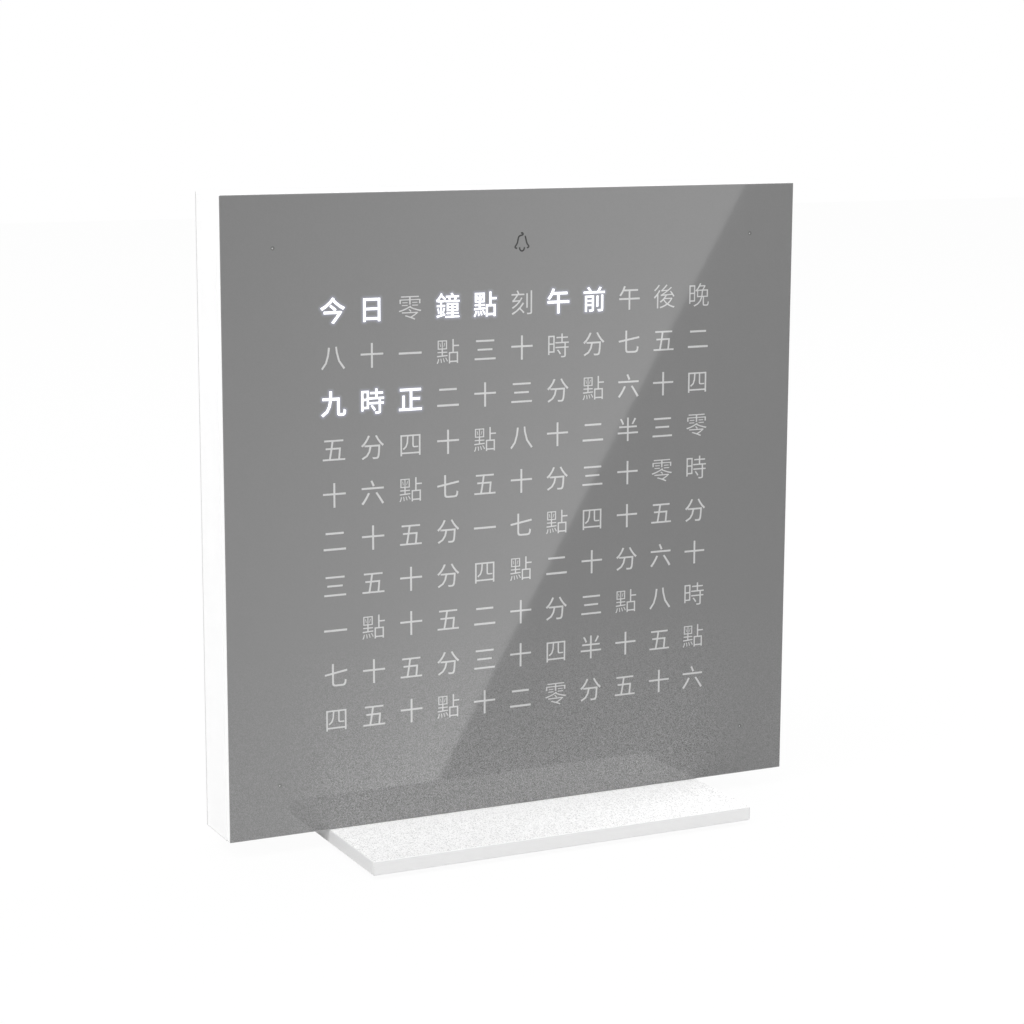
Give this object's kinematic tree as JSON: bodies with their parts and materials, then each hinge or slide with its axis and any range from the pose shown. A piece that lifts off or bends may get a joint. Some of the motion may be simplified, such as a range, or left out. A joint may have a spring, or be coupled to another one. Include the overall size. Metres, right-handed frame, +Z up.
{
  "type": "desk word clock",
  "caption": "Square desk word clock: grey gloss face with a lit character grid, white frame, rear buttons, and a flat metal foot plate.",
  "frame": {"origin": "on the resting plane, under the middle of the foot plate", "axes": "+X to the right as the face is read, +Y to the back, +Z up; the face looks along -Y"},
  "size_m": [0.135, 0.06, 0.139],
  "materials": {
    "face_lacquer": "grey gloss lacquer on opal acrylic, polished",
    "opal_film": "translucent, matt",
    "white_moulding": "fine moulded, matt white",
    "white_housing": "satin white",
    "board_mask": "solder mask over glass-fibre laminate",
    "lamp_package": "moulded lamp package",
    "chip_resin": "moulded resin",
    "spring_steel": "bright sheet",
    "zinc_steel": "zinc plated",
    "nickel": "nickel plated",
    "blasted_steel": "bead blasted, satin",
    "brass": "turned",
    "copper_strip": "rolled copper strip",
    "black_plastic": "moulded black",
    "button_plastic": "satin grey-white",
    "pad_rubber": "soft, matt"
  },
  "bodies": {
    "clock_body": {"diffuser_sheet": "opal_film", "light_grid": "white_moulding", "magnets": "nickel", "led_board": "board_mask", "leds": "lamp_package", "board_screws": "zinc_steel", "driver_chips": "chip_resin", "controller_chip": "chip_resin", "clock_crystal": "nickel", "coin_cell": "nickel", "cell_clip": "spring_steel", "sounder": "black_plastic", "key_switches": "black_plastic", "power_socket": "black_plastic", "socket_pin": "brass", "touch_strip": "copper_strip", "housing": "white_housing", "rear_cover": "white_housing", "rear_cover_screws": "zinc_steel", "foot_plate": "blasted_steel", "foot_screws": "zinc_steel", "foot_inserts": "brass", "foot_pads": "pad_rubber"},
    "cover": {"front_cover": "face_lacquer", "cover_keepers": "zinc_steel"},
    "hour_key": {"hour_button": "button_plastic", "hour_plunger": "black_plastic"},
    "minute_key": {"minute_button": "button_plastic", "minute_plunger": "black_plastic"},
    "mode_key": {"mode_button": "button_plastic", "mode_plunger": "black_plastic"}
  },
  "joints": [
    {"name": "cover_pull", "type": "slide", "parent": "clock_body", "child": "cover", "axis": [0, -1, 0], "range_m": [0, 0.03]},
    {"name": "hour_press", "type": "slide", "parent": "clock_body", "child": "hour_key", "axis": [0, -1, 0], "range_m": [0, 0.0005], "stiffness_N_per_m": 2400, "springref_m": -0.0001},
    {"name": "minute_press", "type": "slide", "parent": "clock_body", "child": "minute_key", "axis": [0, -1, 0], "range_m": [0, 0.0005], "stiffness_N_per_m": 2400, "springref_m": -0.0001},
    {"name": "mode_press", "type": "slide", "parent": "clock_body", "child": "mode_key", "axis": [0, -1, 0], "range_m": [0, 0.0005], "stiffness_N_per_m": 2400, "springref_m": -0.0001}
  ]
}
